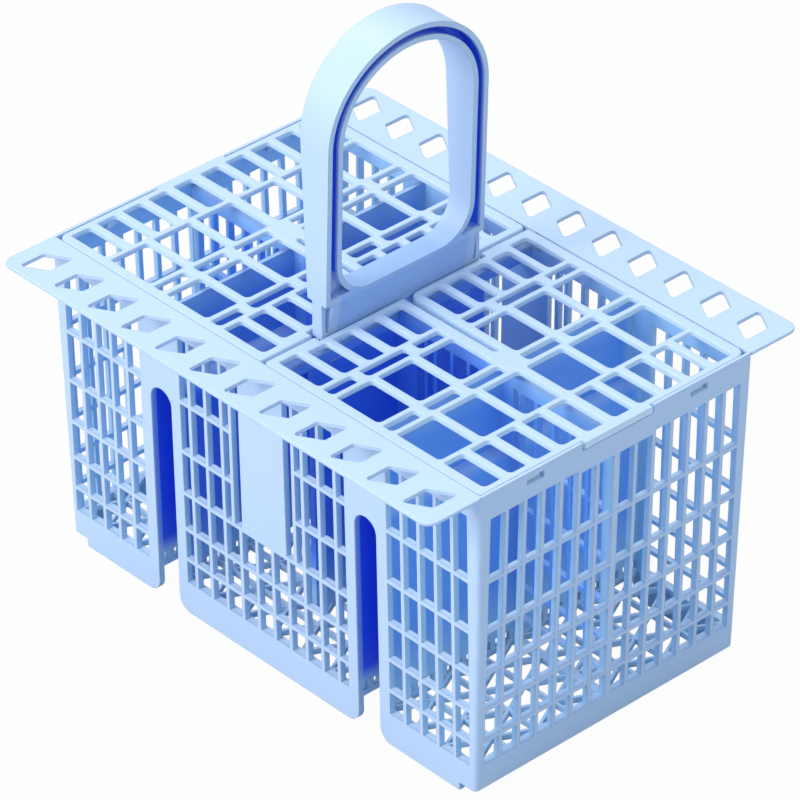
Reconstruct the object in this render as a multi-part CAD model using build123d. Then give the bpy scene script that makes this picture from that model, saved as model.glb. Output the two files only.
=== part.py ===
from build123d import *
import math
import os

# Dishwasher cutlery basket: a lattice basket with two side wings, a clipped-in carrying handle
# and two hinged grid lids. Sizes are in millimetres. X runs along the basket, Y across it,
# and Z up from the feet.

# Body
length = 240.0  # over the end walls at the rim
body_width = 140.0  # over the side walls at the rim, wings left out
rim_height = 140.0  # from the feet to the top of the rim
wall = 2.6
end_draft = 4.0  # how far each end wall leans in on its way down
side_draft = 2.0  # the same for the side walls
corner_round = 2.0
foot_lift = 3.5  # corners and end walls stop this far above the feet
foot_inset = 12.5  # the feet stop this far short of each end

# Lattice of the walls
bar = 1.8
lattice_bottom = 14.5
rim_band = 11.0  # plain band between the top row and the rim
row_shares = (10.3, 12.8, 15.2, 17.8, 21.4, 28.5)  # heights of the rows, lowest first, as shares
corner_post = 6.8  # plain width at each end of a side wall
top_corner_round = 4.0  # upper outer corner of a side wall's last column
end_bay_columns = 5
middle_bars = 10
edge_column_share = 0.6  # the middle bay's outer columns, as a share of its pitch
panel_width = 25.2  # plain panel in the middle of each side wall
panel_gap = 4.2  # upright slot on each side of the panel
panel_rows = 3  # rows that the panel takes up, from the top
end_post = 6.0  # plain width at each side of an end wall
end_columns = 7  # columns on each side of an end wall's middle rib
end_drop = 0.9  # an end wall's top row stops this far under the side walls' rows
tab_columns = 2  # columns on each side of the rib that stop lower, under the lid's tab
tab_drop = 2.3  # how much lower they stop
centre_rib = 3.0

# Tunnels that pass over the rack's tines
slot_centre = 57.8  # from the middle of the basket
slot_width = 12.0
slot_top = 100.0
slot_flare = 6.0  # rounding of the slot's mouth
tunnel_wall = 1.8
inner_pillar = 5.3  # plain strip between a slot and the middle bay
outer_pillar = 5.7  # plain strip between a slot and an end bay
drain_count = 13  # openings at the foot of a tunnel wall, in each half
drain_height = 3.9
drain_post = 2.6

# Floor, divider and the beam that carries the handle
floor_level = 12.0
floor_thick = 2.5
floor_rib = 1.3
floor_rows = 4  # rows of triangles in each half
triangle_base = 16.5
divider = 2.6
divider_gap = 2.7  # opening between the divider and each tunnel fin
divider_band = 5.0  # height of the divider's top band over that opening
divider_foot = 2.0  # height left under that opening
divider_round = 2.5
inner_drop = 5.2  # divider and fins stop this far under the rim
beam_width = 6.8
beam_top = 132.4
beam_depth = 4.4
cross_thick = 3.0  # upright wall under the beam
cross_reach = 44.0  # half its length across the basket

# Wings
wing_reach = 25.0
wing_thick = 1.5
wing_corner = 5.0
wing_edge = 0.5
hole_count = 12
hole_margin = 12.75  # from the end of the wing to the middle of its first hole
hole_width = 10.8
hole_side = 12.3  # straight side of a hole, across the wing
hole_slant = 6.3  # how far the far side of a hole is shifted
hole_round = 1.2

# Lid seat in the rim
side_lip = 1.6  # rim left beside the lid along the sides
end_lip = 1.3  # rim left beside the lid at the ends
lid_clear = 0.3
window_centre = 41.8
window_width = 8.6
window_low = 134.6
window_high = 137.4

# Lids
lid_plate = 2.2
lid_frame = 4.0  # depth of the lid's outer frame
frame_wall = 1.6
lid_gap = 1.6  # between the two lids
lid_notch = 3.8  # from the middle of the basket to the lid, beside the handle
notch_reach = 42.6  # half the notch's length across the basket
lid_round = 1.2
lid_big_round = 4.5
lid_bar = 2.5
inner_frame = 5.7  # plain strip between the lid's inner edge and its first cells
outer_frame = 3.0
end_cell = 21.0
large_cell = 22.7
strip_width = 5.0
outer_cell_extra = 2.0  # the outermost cells by the handle are longer by this
cell_round = 1.8  # two opposite corners of each cell
cell_tight = 0.7  # its other two corners
side_frame = 4.7  # plain strip along the lid's sides
flex_gap = 2.9  # cut that lets the lid's two arms be squeezed together
flex_offset = 1.3  # the cut's middle line, off the middle of the lid
flex_length = 53.4
arm_round = 4.0
tab_width = 34.4
tab_reach = 2.0
tab_thick = 3.2
tab_clear = 1.1
pin_radius = 1.4
pin_length = 0.8
pin_clear = 0.3
hinge_offset = 5.6  # hinge line, from the middle of the basket
hinge_drop = 2.0  # hinge line, under the rim
catch_width = 6.8
catch_thick = 1.4
catch_nose = 1.3
soft_edge = 0.7
# Rows of lid cells from the hinge out: where a row starts on the front and the rear half, the bar
# between its cells, and the cells' shares of the width
hinge_row = (3.8, 7.0, 3.3, (1, 1, 1, 1, 1))
inner_strip = (5.2, 6.4, 4.0, (13.0, 21.4, 13.4))
middle_row = (4.9, 6.2, 3.3, (1, 1, 1))
outer_strip = (5.2, 5.6, 4.4, (17.2, 15.2, 14.6))
outer_row = (2.0, 2.0, 3.2, (1, 1, 1))
end_row = (2.2, 2.2, 3.6, (1, 1, 1, 1, 1))

# Handle
handle_width = 80.6  # over both legs
band_depth = 7.4  # from the outer face of the band to the finger opening
flange = 2.2
handle_web = 2.0
handle_foot = 153.6  # bottom of the legs
handle_spring = 221.5  # where the arch starts
handle_top = 259.8
opening_bottom = 155.0
opening_round = 15.0
leg_half = 5.3  # half the band's width at the foot
grip_half = 9.1  # half the band's width at the top
ledge = 2.6
base_level = 140.2  # where the base stops narrowing
base_low_half = 2.4  # half the base's thickness there and below
base_top_half = 36.0  # half the base's length at its top
base_bottom_half = 38.0
strip_depth = 1.8  # upright strip at each end of the base
strip_half = 2.7
foot_bar = 2.4  # height of the bar along the bottom of the base
tongue_centre = 31.0
tongue_length = 10.0
tongue_thick = 2.6
tongue_clear = 0.2
barb_reach = 0.8
barb_height = 2.0

# Worked-out places
lattice_top = rim_height - rim_band
ledge_level = rim_height - lid_frame - lid_clear
middle_half = slot_centre - slot_width / 2 - inner_pillar
hinge_level = rim_height - hinge_drop
beam_bottom = beam_top - beam_depth
wing_centre = (body_width + wing_reach) / 2
far = 2 * length


def block(x, y, z):
    # A box between two limits on each axis
    size = Box(x[1] - x[0], y[1] - y[0], z[1] - z[0])
    return Pos((x[0] + x[1]) / 2, (y[0] + y[1]) / 2, (z[0] + z[1]) / 2) * size


def split(low, high, gap, shares):
    # Openings between two limits, with bars of one width between them
    clear = high - low - gap * (len(shares) - 1)
    spans = []
    for share in shares:
        size = clear * share / sum(shares)
        spans.append((low, low + size))
        low += size + gap
    return spans


def mirrored(spans):
    # The same spans on both sides of zero
    return spans + [(-high, -low) for low, high in spans]


def tapered_block(inset, low, high):
    # The body's outer form between two heights, drawn in by an inset
    outlines = []
    for level in (low, high):
        lean = 1 - level / rim_height
        size_x = length - 2 * (inset + end_draft * lean)
        size_y = body_width - 2 * (inset + side_draft * lean)
        outlines.append(Plane.XY.offset(level) * RectangleRounded(size_x, size_y, corner_round))
    return loft(outlines)


def middle_columns():
    # Columns of the middle bay where no panel is in the way
    pitch = 2 * middle_half / (middle_bars - 1 + 2 * edge_column_share)
    centres = [(k - (middle_bars - 1) / 2) * pitch for k in range(middle_bars)]
    edges = [-middle_half]
    for centre in centres:
        edges += [centre - bar / 2, centre + bar / 2]
    edges.append(middle_half)
    return list(zip(edges[0::2], edges[1::2]))


def side_openings():
    # Openings that run through both side walls and the divider
    rows = split(lattice_bottom, lattice_top, bar, row_shares)
    low_x = slot_centre + slot_width / 2 + outer_pillar
    high_x = length / 2 - corner_post
    bay = split(low_x, high_x, bar, (1,) * end_bay_columns)
    through = (-far, far)
    cutters = []
    for span in mirrored(bay):
        cutters += [block(span, through, row) for row in rows[:-1]]
        column = block(span, through, rows[-1])
        if max(abs(span[0]), abs(span[1])) == high_x:
            # The last column's upper outer corner is rounded
            corner = (math.copysign(high_x, span[0]), 0, lattice_top)
            edge = column.edges().filter_by(Axis.Y).sort_by_distance(corner)[0]
            column = fillet(edge, top_corner_round)
        cutters.append(column)
    plain_rows = len(rows) - panel_rows
    cutters += [block(span, through, row) for row in rows[:plain_rows] for span in middle_columns()]
    panel_edge = panel_width / 2
    start = panel_edge + panel_gap + bar
    upper = [(max(low, start), high) for low, high in middle_columns() if high > start + bar]
    cutters += [block(span, through, row) for row in rows[plain_rows:] for span in mirrored(upper)]
    height = (rows[plain_rows][0], lattice_top)
    cutters += [block(span, through, height) for span in mirrored([(panel_edge, panel_edge + panel_gap)])]
    return cutters


def end_openings():
    # Openings of both end walls
    rows = split(lattice_bottom, lattice_top, bar, row_shares)
    spans = split(centre_rib / 2, body_width / 2 - end_post, bar, (1,) * end_columns)
    reach = mirrored([(length / 2 - end_draft - wall - 1, length / 2 + 1)])
    cutters = [block(x, span, row) for x in reach for row in rows[:-1] for span in mirrored(spans)]
    for number, span in enumerate(spans):
        drop = tab_drop if number < tab_columns else end_drop
        top_row = (rows[-1][0], lattice_top - drop)
        cutters += [block(x, y, top_row) for x in reach for y in mirrored([span])]
    return cutters


def slot_profile(half_width, top, low):
    # Upright slot with a round top
    arch = top - half_width
    outline = CenterArc((0, arch), half_width, 0, 180)
    outline += Line((-half_width, arch), (-half_width, low))
    outline += Line((-half_width, low), (half_width, low))
    outline += Line((half_width, low), (half_width, arch))
    return make_face(outline)


def mouth_profile():
    # The flared mouth at the foot of a slot
    half = slot_width / 2
    reach = half + slot_flare
    outline = CenterArc((reach, slot_flare), slot_flare, 180, 90)
    outline += CenterArc((-reach, slot_flare), slot_flare, 270, 90)
    outline += Line((half, slot_flare), (-half, slot_flare))
    outline += Line((-reach, 0), (reach, 0))
    return make_face(outline)


def tunnels():
    # Inverted-U walls around each slot, with a fin up to the lids and drain openings at the foot
    inside = body_width - wall
    solid = slot_profile(slot_width / 2 + tunnel_wall, slot_top + tunnel_wall, floor_level)
    spans = split(divider, body_width / 2 - side_draft - wall, drain_post, (1,) * drain_count)
    drain_low = floor_level + floor_thick
    made = []
    for side in (-1, 1):
        centre = side * slot_centre
        tunnel = Pos(centre, 0, 0) * extrude(Plane.XZ * solid, inside / 2, both=True)
        reach = slot_width / 2 + 2 * tunnel_wall
        drains = [block((centre - reach, centre + reach), span, (drain_low, drain_low + drain_height))
                  for span in mirrored(spans)]
        fin_x = (centre - tunnel_wall / 2, centre + tunnel_wall / 2)
        fin = block(fin_x, (-inside / 2, inside / 2), (slot_top, rim_height - inner_drop))
        made.append(tunnel - drains + fin)
    return made


def divider_plate():
    # Upright plate along the middle, open beside each tunnel fin
    top = rim_height - inner_drop
    plate = block((-length / 2 + wall, length / 2 - wall), (-divider / 2, divider / 2), (floor_level, top))
    opening_low = floor_level + floor_thick + divider_foot
    opening_high = top - divider_band
    start = slot_centre + slot_width / 2 + tunnel_wall
    outline = RectangleRounded(2 * divider_gap, opening_high - opening_low, divider_round)
    for side in (-1, 1):
        middle = Pos(side * start, (opening_low + opening_high) / 2)
        opening = extrude(Plane.XZ * (middle * outline), far, both=True)
        outer_side = mirrored([(start, far)])[0 if side > 0 else 1]
        plate -= opening & block(outer_side, (-far, far), (0, rim_height))
    return plate


def inset_triangle(corners):
    # A triangle drawn in from its sides by half a rib
    a, b, c = [Vector(*corner) for corner in corners]
    sides = ((b - c).length, (c - a).length, (a - b).length)
    around = sum(sides)
    middle = (a * sides[0] + b * sides[1] + c * sides[2]) * (1 / around)
    radius = abs((b - a).cross(c - a).length) / around
    scale = (radius - floor_rib / 2) / radius
    points = [middle + (corner - middle) * scale for corner in (a, b, c)]
    return Polygon(*[(point.X, point.Y) for point in points], align=None)


def floor_triangles(x, y):
    # Zigzag rows of triangles that fill one compartment's floor
    count = max(2, round((x[1] - x[0]) / triangle_base))
    base = (x[1] - x[0]) / count
    depth = (y[1] - y[0]) / floor_rows
    triangles = []
    for row in range(floor_rows):
        low = y[0] + row * depth
        near, apex = (low, low + depth) if row % 2 == 0 else (low + depth, low)
        for k in range(count):
            left = x[0] + k * base
            triangles.append(((left, near), (left + base, near), (left + base / 2, apex)))
        for k in range(1, count):
            middle = x[0] + k * base
            triangles.append(((middle - base / 2, apex), (middle + base / 2, apex), (middle, near)))
        triangles.append(((x[0], near), (x[0], apex), (x[0] + base / 2, apex)))
        triangles.append(((x[1], near), (x[1], apex), (x[1] - base / 2, apex)))
    return [inset_triangle(corners) for corners in triangles]


def floor_plate():
    # Floor under the three bays, pierced by triangles
    edge = wall + end_draft
    inner = slot_centre - slot_width / 2 - tunnel_wall
    outer = slot_centre + slot_width / 2 + tunnel_wall
    bays = [(-inner, inner), (outer, length / 2 - edge), (edge - length / 2, -outer)]
    half = body_width / 2 - side_draft - wall
    plate = block((edge / 2 - length / 2, length / 2 - edge / 2), (-half - wall / 2, half + wall / 2),
                  (floor_level, floor_level + floor_thick))
    cutters = []
    for bay in bays:
        for y in mirrored([(divider / 2, half)]):
            cutters += floor_triangles(bay, y)
    middle = Plane.XY.offset(floor_level + floor_thick / 2)
    pierced = [extrude(middle * shape, floor_thick, both=True) for shape in cutters]
    return plate - pierced


def wing():
    # The wing on the +Y side, with its row of slanted holes
    inner_edge = body_width / 2 - side_lip / 2
    outer_edge = body_width / 2 + wing_reach
    outline = Pos(0, (inner_edge + outer_edge) / 2) * Rectangle(length, outer_edge - inner_edge)
    corners = outline.vertices().sort_by(Axis.Y)[-2:]
    outline = fillet(corners, wing_corner)
    plate = extrude(Plane.XY.offset(rim_height - wing_thick) * outline, wing_thick)
    plate = fillet(plate.faces().sort_by(Axis.Z)[-1].edges(), wing_edge)
    plate = fillet(plate.faces().sort_by(Axis.Z)[0].edges(), wing_edge)
    half = hole_width / 2
    near = hole_side / 2 + hole_slant / 2
    inner = hole_side / 2 - hole_slant / 2
    hole = Polygon((-half, near), (-half, -inner), (half, -near), (half, inner), align=None)
    hole = fillet(hole.vertices(), hole_round)
    pitch = (length - 2 * hole_margin) / (hole_count - 1)
    level = Plane.XY.offset(rim_height - wing_thick - 1)
    holes = []
    for k in range(hole_count):
        place = Pos(k * pitch + hole_margin - length / 2, wing_centre)
        holes.append(extrude(level * (place * hole), wing_thick + 2))
    return plate - holes


def lid_seat():
    # Everything the lids and their tabs, catches and pins need cut out of the rim
    seat = block((end_lip - length / 2, length / 2 - end_lip),
                 (side_lip - body_width / 2, body_width / 2 - side_lip), (ledge_level, rim_height + 1))
    cutters = [seat]
    notch_low = rim_height - tab_thick - lid_clear
    notch_half = tab_width / 2 + tab_clear
    end = (length / 2 - wall - 1, length / 2 + 1)
    for x in mirrored([end]):
        cutters.append(block(x, (-notch_half, notch_half), (notch_low, rim_height + 1)))
        for y in mirrored([(window_centre - window_width / 2, window_centre + window_width / 2)]):
            cutters.append(block(x, y, (window_low, window_high)))
    depth = pin_length + pin_clear
    hole = Rot(90, 0, 0) * Cylinder(pin_radius + pin_clear, body_width - 2 * side_lip + 2 * depth)
    for side in (-1, 1):
        cutters.append(Pos(side * hinge_offset, 0, hinge_level) * hole)
    # Room in the ledge for the lids' inner corners, which dip as the lids open
    dip = math.hypot(hinge_offset - lid_gap / 2, lid_frame - hinge_drop) + lid_clear
    reach = hinge_offset + dip / 2
    for y in mirrored([(body_width / 2 - wall - side_draft, body_width / 2 - side_lip)]):
        cutters.append(block((-reach, reach), y, (hinge_level - dip, rim_height)))
    return cutters


def basket():
    shell = tapered_block(0, 0, rim_height) - tapered_block(wall, -1, rim_height + 1)
    inside = tapered_block(wall / 2, 0, rim_height)
    beam = block((-beam_width / 2, beam_width / 2), (-body_width / 2, body_width / 2),
                 (beam_bottom, beam_top))
    cross_wall = block((-cross_thick / 2, cross_thick / 2), (-cross_reach, cross_reach),
                       (floor_level, beam_top))
    # A hole through the beam for each tongue, and room for its barbs in the wall below
    tongues = mirrored([(tongue_centre - tongue_length / 2 - tongue_clear,
                         tongue_centre + tongue_length / 2 + tongue_clear)])
    neck = tongue_thick / 2 + tongue_clear
    sockets = [block((-neck, neck), y, (beam_bottom - 1, beam_top + 1)) for y in tongues]
    sockets += [block((-neck - barb_reach, neck + barb_reach), y,
                      (beam_bottom - barb_height - tongue_clear, beam_bottom)) for y in tongues]
    fittings = [part & inside for part in tunnels() + [divider_plate(), floor_plate()]]
    body = shell + fittings
    body -= side_openings() + end_openings()
    body += [beam & inside, cross_wall]
    # The divider is cut away over the beam, where the handle's base stands
    stand = block((-base_low_half - tongue_clear, base_low_half + tongue_clear),
                  (-base_bottom_half, base_bottom_half), (beam_top, rim_height))
    body -= sockets + [stand]
    openings = (slot_profile(slot_width / 2, slot_top, 0), mouth_profile())
    slots = [Pos(side * slot_centre, 0, 0) * extrude(Plane.XZ * opening, far, both=True)
             for side in (-1, 1) for opening in openings]
    lifted = [block(x, (-far, far), (-1, foot_lift))
              for x in mirrored([(length / 2 - foot_inset, length)])]
    body -= slots + lifted
    body += [wing(), mirror(wing(), Plane.XZ)]
    return body - lid_seat()


def lid_rows():
    # Each row of cells with its limits along X, from the hinge out
    outer = length / 2 - end_lip - lid_clear - outer_frame
    row4 = (outer - end_cell, outer)
    row3 = (row4[0] - lid_bar - large_cell, row4[0] - lid_bar)
    strip2 = (row3[0] - lid_bar - strip_width, row3[0] - lid_bar)
    row2 = (strip2[0] - lid_bar - large_cell, strip2[0] - lid_bar)
    strip1 = (row2[0] - lid_bar - strip_width, row2[0] - lid_bar)
    row1 = (lid_gap / 2 + inner_frame, strip1[0] - lid_bar)
    limits = (row1, strip1, row2, strip2, row3, row4)
    return list(zip(limits, (hinge_row, inner_strip, middle_row, outer_strip, outer_row, end_row)))


def lid_cells():
    edge = body_width / 2 - side_lip - lid_clear - side_frame
    cells = []
    for x, row in lid_rows():
        front, rear, gap, shares = row
        spans = split(rear, edge, gap, shares)
        spans += [(-high, -low) for low, high in split(front, edge, gap, shares)]
        for low, high in spans:
            outermost = row == hinge_row and max(abs(low), abs(high)) > edge - 1
            start = x[0] - outer_cell_extra if outermost else x[0]
            cell = Rectangle(x[1] - start, high - low)
            corners = cell.vertices().sort_by(Axis((0, 0, 0), (1, -1, 0)))
            cell = fillet([corners[0], corners[-1]], cell_round)
            corners = cell.vertices().sort_by(Axis((0, 0, 0), (1, 1, 0)))
            cell = fillet([corners[0], corners[-1]], cell_tight)
            cells.append(Pos((start + x[1]) / 2, (low + high) / 2) * cell)
    return cells


def right_lid():
    inner = lid_gap / 2
    outer = length / 2 - end_lip - lid_clear
    half = body_width / 2 - side_lip - lid_clear
    outline = Pos((inner + outer) / 2, 0) * Rectangle(outer - inner, 2 * half)
    outline -= Pos(inner, 0) * Rectangle(2 * (lid_notch - inner), 2 * notch_reach)
    cut = Pos(inner, flex_offset) * RectangleRounded(2 * flex_length, flex_gap, 0.49 * flex_gap)
    outline -= cut
    arm_corner = outline.vertices().sort_by_distance((lid_notch, flex_offset + flex_gap / 2))[0]
    outline = fillet(arm_corner, arm_round)
    for corner, size in (((outer, half), lid_big_round), ((inner, -half), lid_big_round / 2),
                         ((outer, -half), lid_round), ((inner, half), lid_round)):
        outline = fillet(outline.vertices().sort_by_distance(corner)[0], size)
    rim = outline - offset(outline, -frame_wall, kind=Kind.INTERSECTION)
    plate = extrude(Plane.XY.offset(rim_height - lid_plate) * (outline - lid_cells()), lid_plate)
    plate = fillet(plate.faces().sort_by(Axis.Z)[-1].edges(), soft_edge)
    frame = extrude(Plane.XY.offset(rim_height - lid_frame) * rim, lid_frame - lid_plate + soft_edge)
    lid = plate + frame
    tab = block((outer - 1, outer + tab_reach), (-tab_width / 2, tab_width / 2),
                (rim_height - tab_thick, rim_height))
    tab = fillet(tab.edges().filter_by(Axis.Y).sort_by(Axis.X)[-2:], soft_edge)
    lid += tab
    lid += Pos(hinge_offset, 0, hinge_level) * (
        Rot(90, 0, 0) * Cylinder(pin_radius, 2 * (half + pin_length))
    ) & block((0, outer), (-far, far), (0, far)) - block((0, outer), (1 - half, half - 1), (0, far))
    for y in mirrored([(window_centre - catch_width / 2, window_centre + catch_width / 2)]):
        lid += block((outer - catch_nose - catch_thick, outer - catch_nose), y,
                     (window_low, rim_height - lid_plate / 2))
        lid += block((outer - catch_nose - catch_thick, outer), y,
                     (window_low + lid_clear, window_high - lid_clear))
    return lid


def arch_outline(half_width, top):
    # Legs up to the spring line, with an elliptical arch over them
    outline = Line((-half_width, handle_foot), (-half_width, handle_spring))
    outline += EllipticalCenterArc((0, handle_spring), half_width, top - handle_spring,
                                   start_angle=0, arc_size=180)
    outline += Line((half_width, handle_spring), (half_width, handle_foot))
    outline += Line((half_width, handle_foot), (-half_width, handle_foot))
    return make_face(outline)


def loop_outline(grow):
    # The finger opening, grown by an amount all round
    half = handle_width / 2 - band_depth + grow
    low = opening_bottom - grow
    top = handle_top - band_depth + grow
    radius = opening_round + grow
    outline = Line((-half, low + radius), (-half, handle_spring))
    outline += EllipticalCenterArc((0, handle_spring), half, top - handle_spring,
                                   start_angle=0, arc_size=180)
    outline += Line((half, handle_spring), (half, low + radius))
    outline += CenterArc((half - radius, low + radius), radius, 270, 90)
    outline += Line((half - radius, low), (radius - half, low))
    outline += CenterArc((radius - half, low + radius), radius, 180, 90)
    return make_face(outline)


def upright(sketch, half_thick):
    # Extrude an outline in the YZ plane to both sides of it
    return extrude(Plane.YZ * sketch, half_thick, both=True)


def tapered_width(low, low_half, high, high_half):
    # Everything within a half width that grows evenly between two heights
    outline = Polygon((-low_half, 0), (low_half, 0), (low_half, low), (high_half, high), (high_half, far),
                      (-high_half, far), (-high_half, high), (-low_half, low), align=None)
    return extrude(Plane.XZ * outline, far, both=True)


def handle_base():
    # Wedge under the loop, with an upright strip at each end and a bar along the bottom
    half = handle_width / 2
    outline = Polygon((-base_bottom_half, beam_top), (base_bottom_half, beam_top),
                      (base_top_half, handle_foot + ledge), (-base_top_half, handle_foot + ledge), align=None)
    wedge = upright(outline, far) & tapered_width(base_level, base_low_half, handle_foot, leg_half)
    web = block((-handle_web / 2, handle_web / 2), (-half, half), (beam_top, handle_foot + ledge))
    bar_top = base_level + tongue_clear
    bottom = block((-strip_half, strip_half), (-half, half), (bar_top - foot_bar, bar_top))
    strips = [block((-strip_half, strip_half), y, (bar_top - foot_bar, handle_foot + ledge / 2))
              for y in mirrored([(half - strip_depth, half)])]
    base = wedge + web + bottom + strips
    for y in mirrored([(tongue_centre - tongue_length / 2, tongue_centre + tongue_length / 2)]):
        # Barbed tongues that snap through the beam
        base += block((-tongue_thick / 2, tongue_thick / 2), y, (beam_bottom - barb_height, beam_top + 1))
        base += block((-tongue_thick / 2 - barb_reach, tongue_thick / 2 + barb_reach), y,
                      (beam_bottom - barb_height, beam_bottom - tongue_clear))
    return base


def handle():
    outside = arch_outline(handle_width / 2, handle_top)
    opening = loop_outline(0)
    outer_band = outside - arch_outline(handle_width / 2 - flange, handle_top - flange)
    inner_band = loop_outline(flange) - opening
    ledges = block((-grip_half, grip_half), (-handle_width / 2, handle_width / 2),
                   (handle_foot, handle_foot + ledge))
    bands = upright(outer_band, grip_half) + upright(inner_band, grip_half) + ledges
    bands = bands & tapered_width(handle_foot, leg_half, handle_top, grip_half)
    web = upright(outside - opening, handle_web / 2)
    return bands + web + handle_base() - upright(opening, far)


os.makedirs("parts", exist_ok=True)
lid = right_lid()
pieces = {
    "basket": basket(),
    "handle": handle(),
    "right_lid": lid,
    "left_lid": Rot(0, 0, 180) * lid,
}
for name, shape in pieces.items():
    export_step(shape, f"parts/{name}.step")
    print(name, len(shape.solids()), round(shape.volume / 1000, 1), shape.bounding_box().size)
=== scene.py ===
import math

import bmesh
import bpy
from mathutils import Matrix, Vector


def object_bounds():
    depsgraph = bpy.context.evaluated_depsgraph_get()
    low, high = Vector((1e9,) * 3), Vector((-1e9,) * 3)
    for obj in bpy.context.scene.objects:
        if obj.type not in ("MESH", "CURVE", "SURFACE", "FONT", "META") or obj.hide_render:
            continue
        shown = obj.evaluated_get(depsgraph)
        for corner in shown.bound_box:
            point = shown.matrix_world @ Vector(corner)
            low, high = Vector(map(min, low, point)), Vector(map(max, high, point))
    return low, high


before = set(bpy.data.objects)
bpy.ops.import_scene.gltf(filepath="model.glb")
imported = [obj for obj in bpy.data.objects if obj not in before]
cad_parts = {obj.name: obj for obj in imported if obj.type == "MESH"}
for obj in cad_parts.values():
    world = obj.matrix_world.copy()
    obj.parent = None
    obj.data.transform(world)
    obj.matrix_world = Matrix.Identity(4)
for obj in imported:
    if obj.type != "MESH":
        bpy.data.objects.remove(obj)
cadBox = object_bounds()
print("frame loaded:", sorted(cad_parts))


# a shader socket with arithmetic, so that masks read as expressions

class Sock:
    def __init__(self, tree, socket=None):
        self.tree = tree
        self.socket = socket

    def node(self, kind, settings=None, inputs=None, out=0):
        made = self.tree.nodes.new(kind)
        for name, value in (settings or {}).items():
            setattr(made, name, value)
        for name, value in (inputs or {}).items():
            if isinstance(value, Sock):
                self.tree.links.new(value.socket, made.inputs[name])
            else:
                made.inputs[name].default_value = value
        return Sock(self.tree, made.outputs[out])

    def maths(self, operation, first, second=0.0):
        return self.node("ShaderNodeMath", {"operation": operation}, {0: first, 1: second})

    def size(self):
        return self.maths("ABSOLUTE", self)

    def root(self):
        return self.maths("SQRT", self)

    def least(self, other):
        return self.maths("MINIMUM", self, other)

    def most(self, other):
        return self.maths("MAXIMUM", self, other)

    def ease(self, low, high):
        # 0 below low, 1 above high, smooth between; low may be the larger
        return self.node("ShaderNodeMapRange", {"interpolation_type": "SMOOTHSTEP"},
                         {"Value": self, "From Min": low, "From Max": high})

    def __add__(self, other):
        return self.maths("ADD", self, other)

    __radd__ = __add__

    def __mul__(self, other):
        return self.maths("MULTIPLY", self, other)

    __rmul__ = __mul__

    def __sub__(self, other):
        return self.maths("SUBTRACT", self, other)

    def __rsub__(self, other):
        return self.maths("SUBTRACT", other, self)


# blue moulded plastic, with light and shade painted into its colour: pale where light falls on it, deep
# where it is shut in

plastic = {
    "pale": (0.57, 0.71, 0.93, 1.0),
    "paleCloud": (0.54, 0.69, 0.92, 1.0),
    "paintedLight": (0.70, 0.87, 1.0, 1.0),  # painted light on bars and cell walls that light comes through, on upward faces in the walls and on the floor ribs
    "paintedRevealLight": (0.44, 0.74, 1.0, 1.0),  # painted bounce light on the sides of the lattice openings
    # painted shade on shut-in faces: inside the basket, under the lids, on the handle's loop floor and base
    "paintedShade": (0.17, 0.43, 1.0, 1.0),
    "paintedBayShade": (0.05, 0.20, 1.0, 1.0),  # painted deeper shade in the middle bay
    # painted shade inside the two slots
    "paintedSlotShade": (0.03, 0.13, 1.0, 1.0),
    # painted shade in the handle's groove
    "paintedGrooveShade": (0.05, 0.20, 1.0, 1.0),
    "roughness": 0.36,
    "roughSpread": 0.10,
    "cloudScale": 18.0,
    "grainScale": 900.0,
    "grainBump": 0.06,
    "bumpHeight": 0.0002,
    "edgeRadius": 0.0006,
    "shiftStep": 0.37,  # moves the clouds on from one piece to the next
}

# each fade is a pair: where it starts and where it is full, in metres unless noted

# where the basket's light and shade are painted
basketLook = {
    "halfLength": 0.1187, "halfWidth": 0.0687,  # middle of the walls at the rim
    "endDraft": 0.004, "sideDraft": 0.002, "height": 0.140,
    "wallFade": (-0.0013, 0.0006),  # depth in from the middle of the wall
    "insideFade": (0.0010, 0.0070),
    "rimFade": (0.1385, 0.1360),
    "litFade": (0.120, 0.134), "litShare": 0.5,  # light from the mouth
    "raisedFade": (0.015, 0.050),  # light from the floor
    "levelFade": (0.4, 0.85), "levelShare": 0.4,  # how far a face looks up, from 0 to 1; upward faces get painted light and less painted shade
    "revealShare": 0.9,
    "ribFade": (0.030, 0.014), "ribShare": 0.5,
    "bayFade": (0.0520, 0.0500), "bayShare": 0.75,
}
tunnelLook = {
    "centre": 0.0578, "half": 0.0064, "arc": 0.0940,
    "edge": 0.0004,
    "footFade": (0.018, 0.026),
    "mouthFade": (-0.0012, 0.0), "mouthShare": 0.45,
    "depthFade": (0.0010, 0.0016), "depthShare": 0.55,
}


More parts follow.
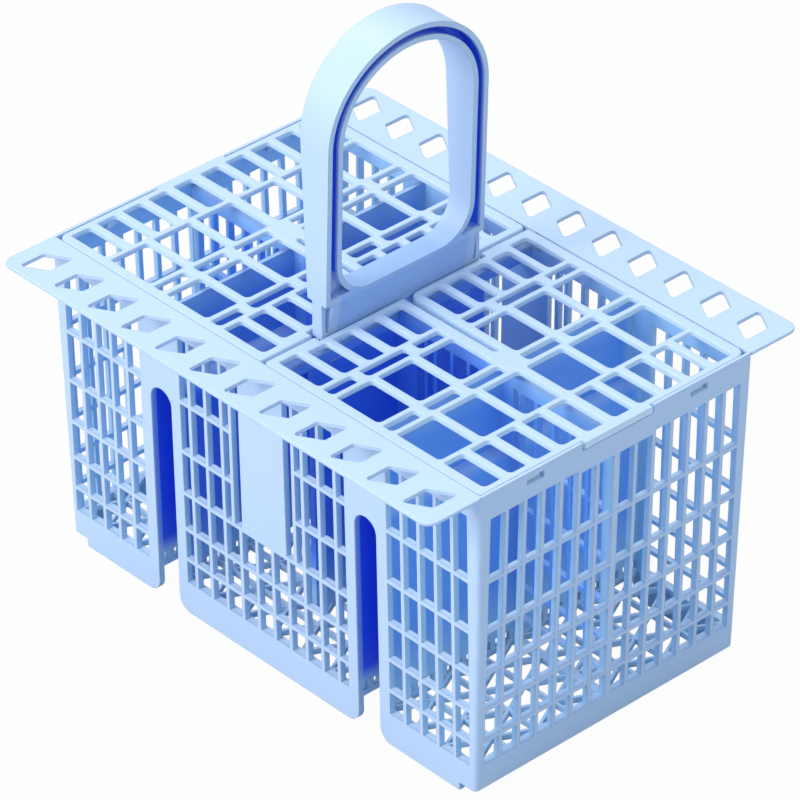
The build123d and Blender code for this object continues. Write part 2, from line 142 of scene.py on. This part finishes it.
def basketShade(x, y, z, up):
    # how far a point lies in from the walls, which places the painted light and shade
    look = basketLook
    lean = 1 - z * (1 / look["height"])
    fromEnd = look["halfLength"] - x.size() - lean * look["endDraft"]
    fromSide = look["halfWidth"] - y.size() - lean * look["sideDraft"]
    depth = fromEnd.least(fromSide)
    underRim = z.ease(*look["rimFade"])
    level = up.ease(*look["levelFade"])
    lit = 1 - look["litShare"] * z.ease(*look["litFade"])
    inWall = depth.ease(*look["wallFade"]) * underRim
    # painted bounce light on the sides of the openings in the walls
    paintedRevealLight = look["revealShare"] * inWall * (1 - level)
    within = depth.ease(*look["insideFade"])
    # painted light on the floor ribs
    ribs = look["ribShare"] * within * z.ease(*look["ribFade"])
    # painted shade further in, lighter towards the mouth, off the floor and on upward faces
    paintedShade = within * underRim * z.ease(*look["raisedFade"]) * lit * (1 - look["levelShare"] * level)
    # painted deeper shade in the middle bay
    paintedBayShade = look["bayShare"] * paintedShade * x.size().ease(*look["bayFade"])
    # upward faces in the walls get painted light
    return [(inWall * level, "paintedLight"), (paintedRevealLight, "paintedRevealLight"), (ribs, "paintedLight"), (paintedShade, "paintedShade"),
            (paintedBayShade, "paintedBayShade"), (tunnelShade(x, z, depth), "paintedSlotShade")]


def tunnelShade(x, z, depth):
    # painted shade on the two slots' inner faces: straight sides with a round top
    look = tunnelLook
    offSlot = (x.size() - look["centre"]).size()
    overArc = (z - look["arc"]).most(0.0)
    fromAxis = (offSlot * offSlot + overArc * overArc).root()
    face = fromAxis.ease(look["half"] + look["edge"], look["half"]) * z.ease(*look["footFade"])
    return face * (look["mouthShare"] * depth.ease(*look["mouthFade"])
                   + look["depthShare"] * depth.ease(*look["depthFade"]))


lidLook = {
    "uprightFade": (0.75, 0.45),  # how far a face looks up or down, from 0 to 1
    "underFade": (-0.5, -0.8), "underShare": 0.6,
    "topFade": (0.1397, 0.1390),
}


def lidShade(x, y, z, up):
    # painted light on the cell walls, as if they let light through; painted shade on the shut-in undersides
    cellWall = up.size().ease(*lidLook["uprightFade"]) * z.ease(*lidLook["topFade"])
    below = lidLook["underShare"] * up.ease(*lidLook["underFade"])
    return [(cellWall, "paintedLight"), (below, "paintedShade")]


handleLook = {
    "halfWidth": 0.0403, "spring": 0.2215, "rise": 0.0383,  # outline of the arch
    "base": 0.1560, "baseFade": 0.0015, "baseShare": 0.03,
    "footHalf": 0.0053, "widening": 0.0358,  # half the band's depth at the foot, and its growth
    "grooveInner": (0.860, 0.868), "grooveOuter": (0.953, 0.946),  # shares of the outline
    "grooveFoot": (0.1558, 0.1566), "grooveDepth": (-0.0004, -0.0018),
    "loopInner": (0.83, 0.80), "loopFloor": (0.1600, 0.1556), "loopShare": 0.34,
    "parting": 0.00018, "partingShare": 0.6,
    "streakScale": 1400.0, "streakStretch": 0.03, "streakShare": 0.35,
    "grainShare": 0.5,
}


def handleShade(x, y, z, up):
    # painted shade in the groove round the loop, on the floor of the loop and on the base under it
    look = handleLook
    rise = (z - look["spring"]).most(0.0) * (1 / look["rise"])
    across = y * (1 / look["halfWidth"])
    ring = (across * across + rise * rise).root()
    bandHalf = look["footHalf"] + look["widening"] * (z - look["base"])
    paintedGrooveShade = ring.ease(*look["grooveInner"]) * ring.ease(*look["grooveOuter"])
    paintedGrooveShade = paintedGrooveShade * z.ease(*look["grooveFoot"])
    paintedGrooveShade = paintedGrooveShade * (x.size() - bandHalf).ease(*look["grooveDepth"])
    base = look["baseShare"] * z.ease(look["base"], look["base"] - look["baseFade"])
    loopFloor = look["loopShare"] * z.ease(*look["loopFloor"]) * ring.ease(*look["loopInner"])
    return [(base, "paintedShade"), (loopFloor, "paintedShade"), (paintedGrooveShade, "paintedGrooveShade")]


def handleMarks(x, y, z):
    # parting line along the band, and faint upright flow streaks
    look = handleLook
    line = x.size().ease(0.0, look["parting"])
    spread = x.node("ShaderNodeCombineXYZ", {}, {"X": x, "Y": y, "Z": z * look["streakStretch"]})
    streaks = x.node("ShaderNodeTexNoise", {},
                     {"Vector": spread, "Scale": look["streakScale"], "Detail": 1.0})
    return look["partingShare"] * line + look["streakShare"] * streaks


def plasticMaterial(name, shift, shade, marks=None):
    material = bpy.data.materials.new(name)
    material.use_nodes = True
    tree = material.node_tree
    shader = tree.nodes["Principled BSDF"]
    start = Sock(tree)
    spot = start.node("ShaderNodeTexCoord", out="Object")
    x, y, z = (start.node("ShaderNodeSeparateXYZ", {}, {"Vector": spot}, out=axis) for axis in "XYZ")
    facing = start.node("ShaderNodeTexCoord", out="Normal")
    up = start.node("ShaderNodeSeparateXYZ", {}, {"Vector": facing}, out="Z")
    place = start.node("ShaderNodeMapping", {}, {"Vector": spot, "Location": (shift, 0.3 * shift, 0)})

    # colour: clouds of two pale blues, then the layers of painted light and shade over them
    clouds = start.node("ShaderNodeTexNoise", {}, {"Vector": place, "Scale": plastic["cloudScale"],
                                                   "Detail": 3.0, "Roughness": 0.6})
    colour = start.node("ShaderNodeMix", {"data_type": "RGBA"},
                        {0: clouds, 6: plastic["paleCloud"], 7: plastic["pale"]}, out=2)
    for mask, layer in shade(x, y, z, up):
        colour = start.node("ShaderNodeMix", {"data_type": "RGBA"},
                            {0: mask, 6: colour, 7: plastic[layer]}, out=2)

    # surface: fine grain, softened edges and the piece's own marks
    height = start.node("ShaderNodeTexNoise", {}, {"Vector": place, "Scale": plastic["grainScale"],
                                                   "Detail": 2.0})
    if marks:
        height = height * handleLook["grainShare"] + marks(x, y, z)
    rough = plastic["roughness"] - plastic["roughSpread"] / 2 + clouds * plastic["roughSpread"]
    soft = start.node("ShaderNodeBevel", {"samples": 4}, {"Radius": plastic["edgeRadius"]})
    bump = start.node("ShaderNodeBump", {}, {"Height": height, "Strength": plastic["grainBump"],
                                             "Distance": plastic["bumpHeight"], "Normal": soft})
    tree.links.new(colour.socket, shader.inputs["Base Color"])
    tree.links.new(rough.socket, shader.inputs["Roughness"])
    tree.links.new(bump.socket, shader.inputs["Normal"])
    return material


shades = {"basket": basketShade, "handle": handleShade, "left_lid": lidShade, "right_lid": lidShade}
for number, (nodeName, node) in enumerate(sorted(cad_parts.items())):
    finish = plasticMaterial("bluePlastic_" + nodeName, plastic["shiftStep"] * number,
                             shades[nodeName], handleMarks if nodeName == "handle" else None)
    node.data.materials.clear()
    node.data.materials.append(finish)
print("plastic on", len(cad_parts), "nodes")


# floor and backdrop

floorLook = {
    "size": 6.0,
    "drop": 0.0002,  # just under the feet
    "colour": (0.56, 0.60, 0.66, 1.0),
    "roughness": 0.9,
    "whiteness": 0.97,  # share that the camera sees as white, the rest keeps the shadow
}

floorMesh = bpy.data.meshes.new("floor")
shape = bmesh.new()
bmesh.ops.create_grid(shape, x_segments=1, y_segments=1, size=floorLook["size"])
bmesh.ops.translate(shape, vec=(0, 0, cadBox[0][2] - floorLook["drop"]), verts=shape.verts)
shape.to_mesh(floorMesh)
shape.free()
floor = bpy.data.objects.new("floor", floorMesh)
bpy.context.collection.objects.link(floor)


def floorMaterial():
    # white to the camera, with part of the object's soft shadow kept
    material = bpy.data.materials.new("paleFloor")
    material.use_nodes = True
    tree = material.node_tree
    shader = tree.nodes["Principled BSDF"]
    shader.inputs["Base Color"].default_value = floorLook["colour"]
    shader.inputs["Roughness"].default_value = floorLook["roughness"]
    shader.inputs["Specular IOR Level"].default_value = 0.0
    start = Sock(tree)
    seen = start.node("ShaderNodeLightPath", out="Is Camera Ray")
    white = start.node("ShaderNodeEmission", {}, {"Color": (1, 1, 1, 1), "Strength": 1.0})
    surface = start.node("ShaderNodeMixShader", {}, {0: seen * floorLook["whiteness"],
                                                     1: Sock(tree, shader.outputs[0]), 2: white})
    tree.links.new(surface.socket, tree.nodes["Material Output"].inputs["Surface"])
    return material


floorMesh.materials.append(floorMaterial())


# soft studio light

lamps = [
    {"name": "keyLamp", "at": (-0.5, -2.2, 1.3), "size": 1.6, "power": 43.0, "colour": (1.0, 1.0, 1.0)},
    {"name": "topLamp", "at": (-0.4, 0.5, 2.6), "size": 2.4, "power": 46.0, "colour": (1.0, 1.0, 1.0)},
    {"name": "fillLamp", "at": (2.4, -0.2, 1.0), "size": 1.6, "power": 8.0, "colour": (0.75, 0.90, 1.0)},
]
lampAim = Vector((0, 0, 0.09))
for lamp in lamps:
    light = bpy.data.lights.new(lamp["name"], "AREA")
    light.size = lamp["size"]
    light.energy = lamp["power"]
    light.color = lamp["colour"]
    holder = bpy.data.objects.new(lamp["name"], light)
    holder.location = lamp["at"]
    holder.rotation_euler = (lampAim - Vector(lamp["at"])).to_track_quat("-Z", "Y").to_euler()
    bpy.context.collection.objects.link(holder)

skyLook = {"colour": (0.70, 0.86, 1.0, 1.0), "strength": 0.45}

world = bpy.data.worlds.new("studio")
bpy.context.scene.world = world
world.use_nodes = True
skyTree = world.node_tree
ambient = skyTree.nodes["Background"]
ambient.inputs["Color"].default_value = skyLook["colour"]
ambient.inputs["Strength"].default_value = skyLook["strength"]
sky = Sock(skyTree)
backdrop = sky.node("ShaderNodeBackground", {}, {"Color": (1, 1, 1, 1), "Strength": 1.0})
skySeen = sky.node("ShaderNodeLightPath", out="Is Camera Ray")
skyMix = sky.node("ShaderNodeMixShader", {}, {0: skySeen, 1: Sock(skyTree, ambient.outputs[0]), 2: backdrop})
skyTree.links.new(skyMix.socket, skyTree.nodes["World Output"].inputs["Surface"])
print("floor and", len(lamps), "lamps placed")


# camera at the photograph's angle

view = {
    "azimuth": 47.580,
    "elevation": 34.106,
    "roll": -0.391,
    "distance": 2.280,
    "aim": (-0.00664, 0.00744, 0.08464),
    "lens": 266.79,
    "sensor": 36.0,
    "clipEnd": 20.0,
}
camera = bpy.data.objects.new("camera", bpy.data.cameras.new("camera"))
camera.data.sensor_width = view["sensor"]
camera.data.sensor_fit = "HORIZONTAL"
camera.data.lens = view["lens"]
camera.data.clip_end = view["clipEnd"]
turn = (Matrix.Rotation(math.radians(view["azimuth"]), 4, "Z")
        @ Matrix.Rotation(math.radians(90 - view["elevation"]), 4, "X")
        @ Matrix.Rotation(math.radians(view["roll"]), 4, "Z"))
camera.matrix_world = Matrix.Translation(view["aim"]) @ turn @ Matrix.Translation((0, 0, view["distance"]))
bpy.context.collection.objects.link(camera)
bpy.context.scene.camera = camera
bpy.context.scene.view_settings.view_transform = "Standard"
print("camera set")
